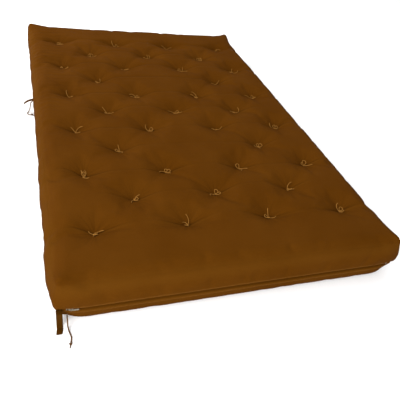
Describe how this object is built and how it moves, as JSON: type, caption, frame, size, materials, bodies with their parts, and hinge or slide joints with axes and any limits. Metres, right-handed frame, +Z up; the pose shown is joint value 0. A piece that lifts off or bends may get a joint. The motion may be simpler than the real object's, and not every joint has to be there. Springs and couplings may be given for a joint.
{
  "type": "futon mattress",
  "caption": "Thick rectangular futon mattress in brown cotton drill, tied through with rows of knotted twine tufts, with a zip across the foot end and sewn ties.",
  "frame": {"origin": "middle of the flat underside that the mattress rests on", "axes": "+X across the bed, +Y along it towards the head end (the zip is in the foot end, at -Y), +Z up"},
  "size_m": [1.2467, 1.9766, 0.15],
  "materials": {
    "drill": "matte brown cotton drill, fine diagonal twill, soft creases",
    "felt": "undyed carded cotton felt, fibrous",
    "foam": "open-cell polyurethane foam, matte",
    "twine": "waxed brown tufting twine, two-ply twist",
    "tie_cord": "twisted brown cotton cord",
    "zip_tape": "woven polyester zip tape, herringbone",
    "zip_teeth": "dyed nylon coil",
    "zip_metal": "nickel-plated zinc, lightly worn"
  },
  "bodies": {
    "foot_half": {"top_panel_foot": "drill", "bottom_panel_foot": "drill", "felt_1_foot": "felt", "felt_2_foot": "felt", "foam_3_foot": "foam", "foam_4_foot": "foam", "felt_5_foot": "felt", "felt_6_foot": "felt", "tuft_row_06": "twine", "tuft_row_07": "twine", "tuft_row_08": "twine", "tuft_row_09": "twine", "tuft_row_10": "twine", "tuft_row_11": "twine", "zip_tape_upper": "zip_tape", "zip_tape_lower": "zip_tape", "zip_teeth_upper": "zip_teeth", "zip_teeth_lower": "zip_teeth", "zip_stops_left": "zip_metal", "zip_stop_right": "zip_metal", "tie_tape_corner": "drill", "tie_cord_corner": "tie_cord", "tie_knot_corner": "tie_cord"},
    "head_half": {"top_panel_head": "drill", "bottom_panel_head": "drill", "felt_1_head": "felt", "felt_2_head": "felt", "foam_3_head": "foam", "foam_4_head": "foam", "felt_5_head": "felt", "felt_6_head": "felt", "tuft_row_01": "twine", "tuft_row_02": "twine", "tuft_row_03": "twine", "tuft_row_04": "twine", "tuft_row_05": "twine", "tie_tape_side": "drill", "tie_cord_side": "tie_cord", "tie_knot_side": "tie_cord"},
    "zip_slider": {"zip_slider": "zip_metal"},
    "zip_pull": {"zip_pull_tab": "zip_metal"}
  },
  "joints": [
    {"name": "fold", "type": "hinge", "parent": "foot_half", "child": "head_half", "pos_m": [0, 0.073, 0.15], "axis": [1, 0, 0], "range_deg": [0, 90]},
    {"name": "zip_slide", "type": "slide", "parent": "foot_half", "child": "zip_slider", "axis": [1, 0, 0], "range_m": [0, 1.093]},
    {"name": "zip_pull_swing", "type": "hinge", "parent": "zip_slider", "child": "zip_pull", "pos_m": [-0.5465, -0.94703, 0.052], "axis": [0, 0, 1], "range_deg": [-178, 0]}
  ]
}
